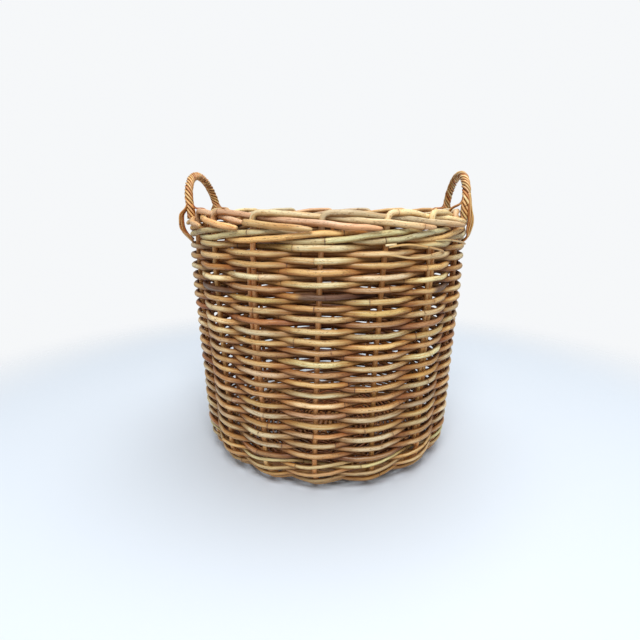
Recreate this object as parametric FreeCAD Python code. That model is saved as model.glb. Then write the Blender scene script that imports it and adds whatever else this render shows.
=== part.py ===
import FreeCAD, Part
import math
import os

from FreeCAD import Vector

# A round log basket woven from whole rattan cane, with two fixed rope handles.
# Millimetres, +Z up. The origin is on the floor, under the middle of the base.
# An azimuth is in degrees: 0 is the front (-Y) and 90 the right-hand handle (+X).

# Overall sizes
RIM_RADIUS = 275.0  # outside of the border, where the cut ends of the stakes lie
BORDER_TOP = 477.0  # top of the border over the floor
HANDLE_TOP = 547.0  # top of each handle over the floor
FOOT_RADIUS = 239.6  # where the line of the wall's stakes would meet the line of their tails

# Canes
STAKE_COUNT = 16
STAKE_DIAMETER = 9.2
BYE_STAKE_DIAMETER = 7.4
WEAVER_DIAMETER = 8.6
WALE_DIAMETER = 8.4
FOOT_CANE_DIAMETER = 6.4
BASE_CANE_DIAMETER = 4.6
HANDLE_BOW_DIAMETER = 8.5
HANDLE_ROPE_DIAMETER = 15.5
STRAND_DIAMETER = 3.4

# Fits
CONTACT = 0.25  # left between two canes that bear on each other
ROW_GAP = 0.45  # least space between two rows of the side weave
END_GAP = 2.0  # between the butted ends of one round
LASHING_GAP = 1.2  # between a lashing and the cut ends of the border
FOOT_LIFT = 1.5  # between the top of the border and the strands that cross it
WEAR = 0.5  # worn off the underside of the lowest round, where the basket stands

# Bends of the centre lines
STAKE_BEND_RADIUS = 42.0  # where a stake turns up from the base
HUMP_RADIUS = 14.0  # where a stake turns over into the border
BORDER_BEND_RADIUS = 90.0
WEAVER_BEND_RADIUS = 80.0
FOOT_BEND_RADIUS = 34.0
STICK_BEND_RADIUS = 30.0
HANDLE_BEND_RADIUS = 90.0
STRAND_BEND_RADIUS = 14.0
RUN_SHARE = 0.46  # the most of a straight run that one of its two bends may take
STRAIGHT = math.radians(0.3)  # a turn under this is left straight
BULGE_ROUNDS = 12  # passes that settle the corners of a path on its wanted points

# Rounds and bands
FOOT_ROUNDS = 6
WEAVE_BOTTOM = 61.3
WEAVE_BANDS = 20
ROW_START_SHIFT = 6  # stakes between the starts of one pair of rows and the next
BASE_BANDS = 2
BASE_WEAVE_START = 52.0
BASE_CANE_GAP = 0.4
STICK_STEP_DOWN = 12.0  # how far inside the base weave the upper sticks reach its level
STICKS_PAST_WEAVE = 2.3  # how far the base sticks reach past the base weave
TAIL_START = 142.0  # where the tails of the stakes begin, beside the base sticks
FLAT_OVER_CANES = 2.0  # how far a base cane lies flat past the middle of a stick

# The border: each stake runs on as (stakes to the right, layers out, stake widths down)
BORDER_RUN = (
    (0.5, -0.2, 0.065),
    (1.0, -1.0, 0.870),
    (1.5, 0.0, 1.337),
    (2.0, 1.0, 1.717),
    (2.4, 1.7, 1.913),
    (2.88, 2.0, 2.174),
)
SHORT_STAKE = 14  # this stake's run ends early, and a separate rod carries it on
SHORT_RUN = 1.86  # stakes to the right, where the run ends
ROD_START = 1.89

WALE_START = 180.0  # the wale starts at the back
WALE_EASE = 1.06  # how much further apart its rods pass each other than they have to

# Handles
HANDLE_AZIMUTHS = {"left": -90.0, "right": 90.0}
HANDLE_HALF_SPAN = 18.5  # degrees from the middle of a handle to each foot
HANDLE_FOOT_INSET = 13.0  # from the rim in to the feet of a handle
HANDLE_TOP_INSET = 15.0  # from the rim in to the top of its arch
BOW_SINK = 13.0  # how far below the top of the border the bow stands, outside the top layer
HANDLE_POINTS = 6  # straight steps that a handle's arch is drawn with
LASHING_TUCK = 25.4  # how far below the middle of the border's lowest cane a lashing reaches
LASHING_RISE = 2.6  # how far above the middle of that cane a lashing is widest
STRANDS_PER_LASHING = 3
TAIL_AZIMUTHS = (62.0, 24.0)  # the loose tail of the right handle, woven to the front
TAIL_DROP = 46.0

# Bye-stakes: (azimuth of the stake beside, side, lowest and highest point as shares of the weave)
BYE_STAKES = ((45.0, -1, 0.005, 0.982), (-22.5, -1, 0.323, 0.908))

# Worked out from the sizes above
STAKE_STEP = 360.0 / STAKE_COUNT
STAKE_RADIUS = STAKE_DIAMETER / 2
HANDLE_FOOT_RADIUS = RIM_RADIUS - HANDLE_FOOT_INSET
HANDLE_TOP_RADIUS = RIM_RADIUS - HANDLE_TOP_INSET
BORDER_LAYER = STAKE_DIAMETER + 3 * CONTACT
HUMP_HEIGHT = BORDER_TOP - STAKE_RADIUS
HUMP_RING = RIM_RADIUS - STAKE_RADIUS - 2 * BORDER_LAYER  # the stakes' centres at the top
FOOT_REACH = STAKE_RADIUS + FOOT_CANE_DIAMETER / 2 + CONTACT
BASE_HEIGHT = FOOT_REACH + FOOT_CANE_DIAMETER / 2 - WEAR
LEAN = math.atan((HUMP_RING - FOOT_RADIUS) / (HUMP_HEIGHT - BASE_HEIGHT))
BEND_TURN = math.pi / 2 - LEAN
BEND_REACH = STAKE_BEND_RADIUS * math.tan(BEND_TURN / 2)
BEND_TOP = Vector(
    FOOT_RADIUS + BEND_REACH * math.sin(LEAN), 0, BASE_HEIGHT + BEND_REACH * math.cos(LEAN)
)


def place(azimuth, radius, height):
    """A point from its azimuth in degrees, its distance from the axis and its height."""
    angle = math.radians(azimuth)
    return Vector(radius * math.sin(angle), -radius * math.cos(angle), height)


def wall_radius(height):
    """The distance from the axis to the stakes' centre lines, on the straight wall."""
    return FOOT_RADIUS + (height - BASE_HEIGHT) * math.tan(LEAN)


def crossing_rise(diameter, reach):
    """Half the height between two canes that change sides, so that they clear each other."""
    least = diameter + 3 * CONTACT
    return least / (2 * math.sqrt(1 - (least / (2 * reach)) ** 2))


def corner(before, at, after, bend_radius):
    """The arc at one corner of a path: (reach along the runs, inward direction, radius, turn)."""
    back = (before - at).normalize()
    onward = (after - at).normalize()
    turn = math.pi - back.getAngle(onward)
    if turn < STRAIGHT:
        return None
    shorter = min(before.distanceToPoint(at), after.distanceToPoint(at))
    reach = min(bend_radius * math.tan(turn / 2), RUN_SHARE * shorter)
    return reach, (back + onward).normalize(), reach / math.tan(turn / 2), turn


def bulged(points, bend_radius):
    """Corners whose arcs pass through the given points, instead of cutting inside them."""
    corners = list(points)
    for _ in range(BULGE_ROUNDS):
        moved = [points[0]]
        for index in range(1, len(points) - 1):
            found = corner(*corners[index - 1 : index + 2], bend_radius)
            inset = Vector()
            if found:
                _, inward, radius, turn = found
                inset = inward * (radius / math.cos(turn / 2) - radius)
            moved.append(points[index] - inset)
        moved.append(points[-1])
        corners = moved
    return corners


def rounded_wire(points, bend_radii):
    """Straight runs between the points, with a tangent arc at each corner."""
    edges = []
    start = points[0]
    for index in range(1, len(points) - 1):
        at = points[index]
        found = corner(points[index - 1], at, points[index + 1], bend_radii[index - 1])
        if not found:
            continue
        reach, inward, radius, turn = found
        enter = at + (points[index - 1] - at).normalize() * reach
        leave = at + (points[index + 1] - at).normalize() * reach
        middle = at + inward * (radius / math.cos(turn / 2) - radius)
        edges.append(Part.LineSegment(start, enter).toShape())
        edges.append(Part.Arc(enter, middle, leave).toShape())
        start = leave
    edges.append(Part.LineSegment(start, points[-1]).toShape())
    return Part.Wire(edges)


def cane(points, diameter, bend_radii):
    """A solid cane of one diameter along the points. bend_radii is one value or one a corner."""
    if not isinstance(bend_radii, (list, tuple)):
        bend_radii = [bend_radii] * (len(points) - 2)
    path = rounded_wire(points, bend_radii)
    section = Part.Wire(Part.Circle(points[0], points[1] - points[0], diameter / 2).toShape())
    return path.makePipeShell([section], True, False)


def border_point(azimuth, steps):
    """A point on one stake's border run, some stakes to the right of its hump."""
    run = ((0.0, 0.0, 0.0), *BORDER_RUN)
    after = next(index for index in range(1, len(run)) if steps <= run[index][0])
    start, end = run[after - 1], run[after]
    share = (steps - start[0]) / (end[0] - start[0])
    layers, drop = (a + (b - a) * share for a, b in zip(start[1:], end[1:]))
    radius = HUMP_RING + layers * BORDER_LAYER
    return place(azimuth + steps * STAKE_STEP, radius, HUMP_HEIGHT - drop * STAKE_DIAMETER)


def border_points(azimuth, first, last):
    """The corners of a stretch of one stake's border run."""
    between = [steps for steps, _, _ in BORDER_RUN if first < steps < last]
    return [border_point(azimuth, steps) for steps in (first, *between, last)]


def stake(azimuth, last):
    """One stake: its tail in the base, its length in the wall and its run in the border."""
    run = border_points(azimuth, 0.0, last)
    points = [
        place(azimuth, TAIL_START, BASE_HEIGHT),
        place(azimuth, FOOT_RADIUS, BASE_HEIGHT),
        *run,
    ]
    bends = [STAKE_BEND_RADIUS, HUMP_RADIUS] + [BORDER_BEND_RADIUS] * (len(run) - 2)
    return cane(points, STAKE_DIAMETER, bends)


def border_rod():
    """The rod that carries on the short stake's run."""
    azimuth = (SHORT_STAKE - 1) * STAKE_STEP
    points = border_points(azimuth, ROD_START, BORDER_RUN[-1][0])
    return cane(points, STAKE_DIAMETER, BORDER_BEND_RADIUS)


def bye_stake(azimuth, side, bottom, top):
    """A second cane pushed down the weave, close beside one stake."""
    apart = (STAKE_DIAMETER + BYE_STAKE_DIAMETER) / 2 + CONTACT
    beside = Vector(math.cos(math.radians(azimuth)), math.sin(math.radians(azimuth)), 0)
    ends = [place(azimuth, wall_radius(height), height) for height in (bottom, top)]
    return cane([end + beside * (side * apart) for end in ends], BYE_STAKE_DIAMETER, [])


def wall_row(height, first):
    """One row of the side weave, from inside one stake: in and out by turns round the wall."""
    reach = STAKE_RADIUS + WEAVER_DIAMETER / 2 + CONTACT
    gap = math.degrees(END_GAP / 2 / wall_radius(height))
    points = []
    for step in range(STAKE_COUNT + 1):
        side = 1 if step % 2 else -1
        nudge = {0: gap, STAKE_COUNT: -gap}.get(step, 0.0)
        azimuth = (first + step) * STAKE_STEP + nudge
        points.append(place(azimuth, wall_radius(height) + side * reach, height))
    return cane(bulged(points, WEAVER_BEND_RADIUS), WEAVER_DIAMETER, WEAVER_BEND_RADIUS)


def weave_bands(bottom, top):
    """The side weave as bands of rows, from the bottom up. Two weavers chase each other."""
    rows = int((top - bottom) / (WEAVER_DIAMETER + ROW_GAP))
    pitch = (top - bottom) / rows
    bands = [[] for _ in range(WEAVE_BANDS)]
    for row in range(rows):
        # the top row is out at the front stake, and each pair of rows starts further round
        in_at_front = (rows - 1 - row) % 2
        first = row // 2 * ROW_START_SHIFT + (0 if in_at_front else 1)
        height = bottom + (row + 0.5) * pitch
        bands[row * WEAVE_BANDS // rows].append(wall_row(height, first))
    return bands


def foot_frame(along):
    """A point on the stakes' centre line, (radius, height), with its outward and upward
    directions. along is the length up the stake from the top of its lower bend."""
    if along >= 0:
        angle = LEAN
        radius = BEND_TOP.x + along * math.sin(LEAN)
        height = BEND_TOP.z + along * math.cos(LEAN)
    else:
        angle = LEAN + min(-along / STAKE_BEND_RADIUS, BEND_TURN)
        past = max(-along - BEND_TURN * STAKE_BEND_RADIUS, 0)
        centre_radius = BEND_TOP.x - STAKE_BEND_RADIUS * math.cos(LEAN)
        centre_height = BEND_TOP.z + STAKE_BEND_RADIUS * math.sin(LEAN)
        radius = centre_radius + STAKE_BEND_RADIUS * math.cos(angle) - past
        height = centre_height - STAKE_BEND_RADIUS * math.sin(angle)
    outward = (math.cos(angle), -math.sin(angle))
    upward = (math.sin(angle), math.cos(angle))
    return (radius, height), outward, upward


def foot_levels():
    """How far up the stakes the middle of each foot round lies, from the top one down."""
    rise = crossing_rise(FOOT_CANE_DIAMETER, FOOT_REACH)
    pitch = 2 * rise + FOOT_CANE_DIAMETER + 2 * CONTACT
    start = (WEAVE_BOTTOM - BEND_TOP.z) / math.cos(LEAN)
    return [start - (index + 0.5) * pitch for index in range(FOOT_ROUNDS)]


def foot_strand(along, first):
    """One of the two canes of a foot round. It comes out low, crosses one stake and goes in high."""
    rise = crossing_rise(FOOT_CANE_DIAMETER, FOOT_REACH)
    (radius, height), outward, upward = foot_frame(along)
    gap = math.degrees(END_GAP / 2 / radius)
    cycle = ((-1, 0), (0, -1), (1, 0), (0, 1))
    points = []
    halves = 2 * STAKE_COUNT
    for half in range(halves + 1):
        out, up = cycle[half % 4]
        nudge = {0: gap, halves: -gap}.get(half, 0.0)
        azimuth = (first + half / 2) * STAKE_STEP + nudge
        r = radius + out * FOOT_REACH * outward[0] + up * rise * upward[0]
        z = height + out * FOOT_REACH * outward[1] + up * rise * upward[1]
        points.append(place(azimuth, r, z))
    return cane(bulged(points, FOOT_BEND_RADIUS), FOOT_CANE_DIAMETER, FOOT_BEND_RADIUS)


def foot_rounds():
    """The rounds of pairing that turn the base up into the wall, from the top one down."""
    rounds = []
    for index, along in enumerate(foot_levels()):
        rounds.append([foot_strand(along, 3 * index + side) for side in (0, 1)])
    floor = Part.makeBox(4 * RIM_RADIUS, 4 * RIM_RADIUS, BASE_HEIGHT)
    floor.translate(Vector(-2 * RIM_RADIUS, -2 * RIM_RADIUS, -BASE_HEIGHT))
    rounds[-1] = [strand.cut(floor).Solids[0] for strand in rounds[-1]]
    return rounds


def wale_rod(first, height, rise):
    """One of the three rods of the top wale: in front of two stakes, then behind one. It goes
    round until it butts against the start of one of the three, inside the same stake."""
    reach = STAKE_RADIUS + WALE_DIAMETER / 2 + CONTACT
    cycle = ((-1, 0), (0, -0.5), (1, -0.5), (1, 0), (1, 0.5), (0, 0.5))
    passed = next(count for count in range(STAKE_COUNT - first, STAKE_COUNT + 3) if count % 3 == 0)
    halves = 2 * passed
    gap = math.degrees(END_GAP / 2 / wall_radius(height))
    points = []
    for half in range(halves + 1):
        out, up = cycle[half % 6]
        nudge = {0: gap, halves: -gap}.get(half, 0.0)
        azimuth = WALE_START + (first + half / 2) * STAKE_STEP + nudge
        level = height + up * rise
        points.append(place(azimuth, wall_radius(level) + out * reach, level))
    return cane(bulged(points, FOOT_BEND_RADIUS), WALE_DIAMETER, FOOT_BEND_RADIUS)


def inside_foot():
    """How far from the axis the lowest foot round leaves room for the base."""
    (foot_radius, _), _, _ = foot_frame(foot_levels()[-1])
    rise = crossing_rise(FOOT_CANE_DIAMETER, FOOT_REACH)
    return foot_radius - rise - FOOT_CANE_DIAMETER / 2 - BASE_CANE_GAP


def base_stick(offset, azimuth, lift):
    """One stick of the cross, straight through the middle and then out along its azimuth."""
    step_down = BASE_WEAVE_START - STICK_STEP_DOWN
    knee = offset / math.sin(math.radians(azimuth)) if azimuth else step_down / 2
    half = [
        place(azimuth, inside_foot() + STICKS_PAST_WEAVE, BASE_HEIGHT),
        place(azimuth, step_down, BASE_HEIGHT),
        place(azimuth, knee, BASE_HEIGHT + lift),
    ]
    other = [Vector(point.x, -point.y, point.z) for point in reversed(half)]
    return cane(half + other, STAKE_DIAMETER, STICK_BEND_RADIUS)


def base_sticks(count, lift, middle, shift):
    """One layer of the cross: parallel sticks that fan out on both sides of the middle."""
    pitch = STAKE_DIAMETER + 2 * CONTACT
    sticks = []
    for index in range(count):
        order = index - (count - 1) / 2
        stick = base_stick(order * pitch, order * STAKE_STEP, lift)
        stick.rotate(Vector(), Vector(0, 0, 1), middle + shift)
        sticks.append(stick)
    return sticks


def base_ring(radius, number, shift):
    """One ring of the base weave, over one stick or pair and under the next."""
    reach = STAKE_RADIUS + BASE_CANE_DIAMETER / 2 + CONTACT
    over_tails = radius + BASE_CANE_DIAMETER / 2 + CONTACT > TAIL_START
    middle = shift / 2 if over_tails else shift
    half_pair = radius * math.sin(math.radians(abs(shift) / 2))
    half_flat = math.degrees((half_pair + FLAT_OVER_CANES) / radius)
    sides = (-half_flat, half_flat) if over_tails else (0.0,)
    gap = math.degrees(END_GAP / 2 / radius)
    on_chord = radius * math.cos(math.radians(STAKE_STEP / 2 - sides[-1]))
    points = [place(middle - STAKE_STEP / 2 + gap, on_chord, BASE_HEIGHT)]
    for step in range(STAKE_COUNT):
        height = BASE_HEIGHT + (reach if step % 2 else -reach)
        for side in sides:
            points.append(place(middle + step * STAKE_STEP + side, radius, height))
    points.append(place(middle + (STAKE_COUNT - 0.5) * STAKE_STEP - gap, on_chord, BASE_HEIGHT))
    if not over_tails:
        points = bulged(points, reach)
    ring = cane(points, BASE_CANE_DIAMETER, reach)
    ring.rotate(Vector(), Vector(0, 0, 1), number * STAKE_STEP)
    return ring


def base_weave(shift):
    """The rings of the base weave, dealt into bands from the middle outwards."""
    end = inside_foot() - BASE_CANE_DIAMETER / 2
    count = int((end - BASE_WEAVE_START) / (BASE_CANE_DIAMETER + BASE_CANE_GAP)) + 1
    pitch = (end - BASE_WEAVE_START) / (count - 1)
    bands = [[] for _ in range(BASE_BANDS)]
    for index in range(count):
        ring = base_ring(BASE_WEAVE_START + index * pitch, index, shift)
        bands[index * BASE_BANDS // count].append(ring)
    return bands


def handle_arch(azimuth, foot_height):
    """The corners of a handle's centre line: half an ellipse that leans out to its top."""
    top = HANDLE_TOP - HANDLE_ROPE_DIAMETER / 2
    half_span = math.radians(HANDLE_HALF_SPAN)
    half_width = HANDLE_FOOT_RADIUS * math.sin(half_span)
    foot_out = HANDLE_FOOT_RADIUS * math.cos(half_span)
    points = []
    for step in range(HANDLE_POINTS + 1):
        angle = math.pi * step / HANDLE_POINTS
        across = -half_width * math.cos(angle)
        out = foot_out + (HANDLE_TOP_RADIUS - foot_out) * math.sin(angle)
        height = BORDER_TOP + (top - BORDER_TOP) * math.sin(angle)
        points.append(Vector(across, -out, height))
    corners = bulged(points, HANDLE_BEND_RADIUS)
    for end, beside in ((0, 1), (-1, -2)):
        run = corners[beside] - corners[end]
        corners[end] = corners[end] + run * ((foot_height - corners[end].z) / run.z)
    turn = FreeCAD.Rotation(Vector(0, 0, 1), azimuth)
    return [turn.multVec(corner) for corner in corners]


def handle_bow(azimuth):
    """The stout cane inside a handle's rope, pushed into the border beside its top layer."""
    arch = handle_arch(azimuth, BORDER_TOP - BOW_SINK)
    return cane(arch, HANDLE_BOW_DIAMETER, HANDLE_BEND_RADIUS)


def handle_wrapping(azimuth):
    """The sleeve that the twisted strands make around the bow."""
    foot = BORDER_TOP + 2 * FOOT_LIFT + STRAND_DIAMETER + 6 * CONTACT
    sleeve = cane(handle_arch(azimuth, foot), HANDLE_ROPE_DIAMETER, HANDLE_BEND_RADIUS)
    bore = HANDLE_BOW_DIAMETER + 2 * CONTACT
    hollow = cane(handle_arch(azimuth, BORDER_TOP - BOW_SINK), bore, HANDLE_BEND_RADIUS)
    return sleeve.cut(hollow).Solids[0]


def lashing(azimuth):
    """The strands that hold one foot of a handle, outside and inside the border."""
    strand = STRAND_DIAMETER + CONTACT
    clear = STRAND_DIAMETER / 2 + CONTACT
    outer = RIM_RADIUS + clear + LASHING_GAP
    inner = HUMP_RING - BORDER_LAYER - STAKE_RADIUS - clear
    weave_face = STAKE_DIAMETER / 2 + WEAVER_DIAMETER + 2 * CONTACT + clear
    lowest = BORDER_TOP - STAKE_RADIUS - BORDER_RUN[-1][2] * STAKE_DIAMETER
    shoulder = lowest + LASHING_RISE
    bottom = lowest - LASHING_TUCK
    rope_edge = (HANDLE_BOW_DIAMETER + STRAND_DIAMETER) / 2 + 2 * CONTACT
    over = BORDER_TOP + FOOT_LIFT + clear
    routes = (
        (
            (HANDLE_FOOT_RADIUS + rope_edge, over),
            (outer - clear, over),
            (outer, shoulder),
            (wall_radius(bottom) + weave_face, bottom),
        ),
        (
            (HANDLE_FOOT_RADIUS - rope_edge, over),
            (inner - clear, over),
            (inner, shoulder),
            (wall_radius(bottom) - weave_face, bottom),
        ),
    )
    strands = []
    for route in routes:
        for index in range(STRANDS_PER_LASHING):
            across = (index - (STRANDS_PER_LASHING - 1) / 2) * strand
            points = [place(0, radius, height) + Vector(across, 0, 0) for radius, height in route]
            solid = cane(points, STRAND_DIAMETER, STRAND_BEND_RADIUS)
            solid.rotate(Vector(), Vector(0, 0, 1), azimuth)
            strands.append(solid)
    return strands


def handle_tail():
    """Two loose strands of the right handle, led round the wall under the border."""
    weave_face = STAKE_DIAMETER / 2 + WEAVER_DIAMETER + 2 * CONTACT
    strands = []
    for level in (0, 1):
        height = BORDER_TOP - TAIL_DROP - level * (STRAND_DIAMETER + CONTACT)
        radius = wall_radius(height) + weave_face + STRAND_DIAMETER / 2 + 2 * CONTACT
        first, last = TAIL_AZIMUTHS
        steps = 4
        points = []
        for step in range(steps + 1):
            azimuth = first + (last - first) * step / steps
            points.append(place(azimuth, radius, height))
        strands.append(cane(bulged(points, RIM_RADIUS), STRAND_DIAMETER, RIM_RADIUS))
    return strands


def build():
    """Every node of the basket: its name and its solids."""
    nodes = {}
    for index in range(STAKE_COUNT):
        last = SHORT_RUN if index + 1 == SHORT_STAKE else BORDER_RUN[-1][0]
        nodes[f"stake_{index + 1:02d}"] = [stake(index * STAKE_STEP, last)]
    nodes["border_rod"] = [border_rod()]
    for index, strands in enumerate(foot_rounds()):
        nodes[f"foot_pairing_{index + 1}"] = strands

    lowest_run = HUMP_HEIGHT - BORDER_RUN[-1][2] * STAKE_DIAMETER - STAKE_RADIUS
    reach = STAKE_RADIUS + WALE_DIAMETER / 2 + CONTACT
    wale_rise = WALE_EASE * 2 * crossing_rise(WALE_DIAMETER, reach)
    wale_height = lowest_run - CONTACT - (WALE_DIAMETER + wale_rise) / 2
    for index in range(3):
        nodes[f"wale_rod_{index + 1}"] = [wale_rod(index, wale_height, wale_rise)]

    weave_top = wale_height - (WALE_DIAMETER + wale_rise) / 2 - CONTACT
    for index, rows in enumerate(weave_bands(WEAVE_BOTTOM, weave_top)):
        nodes[f"weave_band_{index + 1:02d}"] = rows
    for index, (azimuth, side, *shares) in enumerate(BYE_STAKES):
        ends = [WEAVE_BOTTOM + share * (weave_top - WEAVE_BOTTOM) for share in shares]
        nodes[f"bye_stake_{index + 1}"] = [bye_stake(azimuth, side, *ends)]

    shift = -math.degrees(math.asin((STAKE_DIAMETER + CONTACT) / TAIL_START))
    cross_lift = STAKE_DIAMETER + CONTACT
    nodes["base_sticks_lower"] = base_sticks(3, 0.0, 90.0, shift)
    nodes["base_sticks_upper"] = base_sticks(5, cross_lift, 0.0, shift)
    for index, rings in enumerate(base_weave(shift)):
        nodes[f"base_weave_{index + 1}"] = rings

    for name, azimuth in HANDLE_AZIMUTHS.items():
        nodes[f"handle_{name}_bow"] = [handle_bow(azimuth)]
        nodes[f"handle_{name}_wrapping"] = [handle_wrapping(azimuth)]
        feet = [azimuth - HANDLE_HALF_SPAN, azimuth + HANDLE_HALF_SPAN]
        nodes[f"handle_{name}_lashing"] = [strand for foot in feet for strand in lashing(foot)]
    nodes["handle_right_tail"] = handle_tail()
    return nodes


def write(nodes):
    """Writes each node to its own STEP file."""
    os.makedirs("parts", exist_ok=True)
    for name, solids in nodes.items():
        shape = solids[0] if len(solids) == 1 else Part.makeCompound(solids)
        if not shape.isValid():
            print("not valid:", name)
        shape.exportStep(f"parts/{name}.step")
    print(len(nodes), "nodes,", sum(len(solids) for solids in nodes.values()), "solids")


write(build())
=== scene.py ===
import math

import bpy
import numpy as np
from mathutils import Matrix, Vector


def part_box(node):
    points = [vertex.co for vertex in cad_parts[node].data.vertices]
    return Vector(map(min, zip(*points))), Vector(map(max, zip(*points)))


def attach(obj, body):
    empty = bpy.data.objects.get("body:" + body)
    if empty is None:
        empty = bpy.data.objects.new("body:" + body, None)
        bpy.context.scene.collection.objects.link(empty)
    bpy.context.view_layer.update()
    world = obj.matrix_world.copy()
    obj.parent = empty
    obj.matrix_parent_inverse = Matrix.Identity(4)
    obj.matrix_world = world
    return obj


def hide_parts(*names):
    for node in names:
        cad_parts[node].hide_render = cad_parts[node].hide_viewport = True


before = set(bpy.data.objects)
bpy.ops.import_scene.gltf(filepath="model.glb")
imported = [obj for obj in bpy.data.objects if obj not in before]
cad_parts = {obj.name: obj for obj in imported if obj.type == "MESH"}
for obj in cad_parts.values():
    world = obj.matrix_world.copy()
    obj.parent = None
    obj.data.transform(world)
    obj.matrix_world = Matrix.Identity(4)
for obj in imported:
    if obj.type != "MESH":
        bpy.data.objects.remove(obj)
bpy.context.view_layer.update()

# A round log basket woven from whole rattan cane, with two rope handles. Metres, +Z up.
# An azimuth is in degrees: 0 is the front (-Y) and 90 the right-hand handle (+X).
# A place round the wall is also given in stakes: 0 is the front stake, 4 the right-hand handle.

SEED = 20


def span(prefix, axis):
    """The lowest and highest coordinate, along one axis, of the CAD nodes whose names start so."""
    boxes = [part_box(name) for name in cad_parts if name.startswith(prefix)]
    return min(low[axis] for low, _ in boxes), max(high[axis] for _, high in boxes)


# Sizes read from the frame
STAKE_COUNT = sum(name.startswith("stake_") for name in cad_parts)
RIM_RADIUS = span("stake_", 0)[1]
BORDER_TOP = span("stake_", 2)[1]
HANDLE_TOP = span("handle_", 2)[1]
WEAVE_BOTTOM, WEAVE_TOP = span("weave_band_", 2)
WALE_BOTTOM, WALE_TOP = span("wale_rod_", 2)
WEAVE_BANDS = sum(name.startswith("weave_band_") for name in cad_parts)
FOOT_ROUNDS = sum(name.startswith("foot_pairing_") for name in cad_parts)

# Canes, as in the frame
STAKE_DIAMETER = 0.0092
BYE_STAKE_DIAMETER = 0.0074
WEAVER_DIAMETER = 0.0086
WALE_DIAMETER = 0.0084
FOOT_CANE_DIAMETER = 0.0064
BASE_CANE_DIAMETER = 0.0046
HANDLE_BOW_DIAMETER = 0.0085
HANDLE_ROPE_DIAMETER = 0.0155
STRAND_DIAMETER = 0.0034
CONTACT = 0.00025

# The shape of the wall: as in the frame, but for the tighter hump, deeper border and the belly
FOOT_RADIUS = 0.2396
STAKE_BEND_RADIUS = 0.042
HUMP_BEND_RADIUS = 0.0105
BORDER_BEND_RADIUS = 0.09
BORDER_RUN = (  # stakes to the right of the hump, layers out from it, drop below it
    (0.5, -0.2, 0.0004),
    (1.0, -1.0, 0.0070),
    (1.5, 0.0, 0.0108),
    (2.0, 1.0, 0.0150),
    (2.4, 1.7, 0.0184),
    (2.88, 2.0, 0.0218),
)
SHORT_STAKE = 14  # this stake's run ends early, and a separate rod carries it on
SHORT_RUN = 1.86
ROD_START = 1.89
WEAR = 0.0005  # worn off the underside of the lowest round, where the basket stands
STAKE_STEP = 360.0 / STAKE_COUNT
BORDER_LAYER = STAKE_DIAMETER + 3 * CONTACT
HUMP_HEIGHT = BORDER_TOP - STAKE_DIAMETER / 2
HUMP_RING = RIM_RADIUS - STAKE_DIAMETER / 2 - 2 * BORDER_LAYER
FOOT_REACH = (STAKE_DIAMETER + FOOT_CANE_DIAMETER) / 2 + CONTACT
BASE_HEIGHT = FOOT_REACH + FOOT_CANE_DIAMETER / 2 - WEAR
LEAN = math.atan((HUMP_RING - FOOT_RADIUS) / (HUMP_HEIGHT - BASE_HEIGHT))
BEND_TURN = math.pi / 2 - LEAN
BEND_REACH = STAKE_BEND_RADIUS * math.tan(BEND_TURN / 2)
BEND_TOP_RADIUS = FOOT_RADIUS + BEND_REACH * math.sin(LEAN)
BEND_TOP_HEIGHT = BASE_HEIGHT + BEND_REACH * math.cos(LEAN)
TAIL_START = 0.142
BELLY = 0.0052  # how far the wall swells past a straight one, most of all above its middle
FOOT_TUCK = 0.008  # how far the wall draws in at its very bottom
FOOT_TUCK_HEIGHT = 0.075

# How far each stake strays from its even place, in degrees: low, at mid height, at the top
STAKE_SWAY = {
    -3: (0.8, -0.6, -1.0),
    -2: (0.6, 0.8, -0.4),
    -1: (-0.6, -1.3, -1.4),
    0: (-2.0, -0.6, 1.5),
    1: (-0.2, -1.2, 1.8),
    2: (1.2, 0.6, -0.6),
    3: (1.6, 0.2, -0.8),
}


def seeded(*key):
    """A random source that depends on nothing but its key."""
    return np.random.default_rng([SEED, *[abs(int(number)) + 7 for number in key]])


def stake_angle(index, height):
    """The azimuth of one stake at a height."""
    even = index * STAKE_STEP
    near = (index + STAKE_COUNT // 2) % STAKE_COUNT - STAKE_COUNT // 2
    if near in STAKE_SWAY:
        low, middle, top = STAKE_SWAY[near]
    else:
        low, middle, top = seeded(1, near + 20).uniform(-1.1, 1.1, 3)
    share = np.clip(height / BORDER_TOP, 0, 1)
    lower = (1 - share) * (1 - 2 * share)
    upper = share * (2 * share - 1)
    return even + low * lower + middle * 4 * share * (1 - share) + top * upper


SWAY_HEIGHTS = np.linspace(0, 1.02 * BORDER_TOP, 30)
SWAY_TABLE = np.array(
    [[stake_angle(index, h) - index * STAKE_STEP for h in SWAY_HEIGHTS] for index in range(STAKE_COUNT)]
)


def azimuth_at(place, height):
    """The azimuth of a place given in stakes, following the stakes' sway. Takes arrays."""
    place, height = np.broadcast_arrays(np.asarray(place, float), np.asarray(height, float))
    level = np.clip(height / SWAY_HEIGHTS[-1], 0, 0.999) * (len(SWAY_HEIGHTS) - 1)
    row = level.astype(int)
    part = level - row
    below = np.floor(place).astype(int)
    share = place - below

    def sway(index):
        column = index % STAKE_COUNT
        return SWAY_TABLE[column, row] * (1 - part) + SWAY_TABLE[column, row + 1] * part

    return place * STAKE_STEP + sway(below) * (1 - share) + sway(below + 1) * share


def at(azimuth, radius, height):
    """Points from azimuths in degrees, distances from the axis and heights. Takes arrays."""
    azimuth, radius, height = np.broadcast_arrays(
        np.radians(np.asarray(azimuth, float)), np.asarray(radius, float), np.asarray(height, float)
    )
    return np.stack([radius * np.sin(azimuth), -radius * np.cos(azimuth), height], -1)


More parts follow.
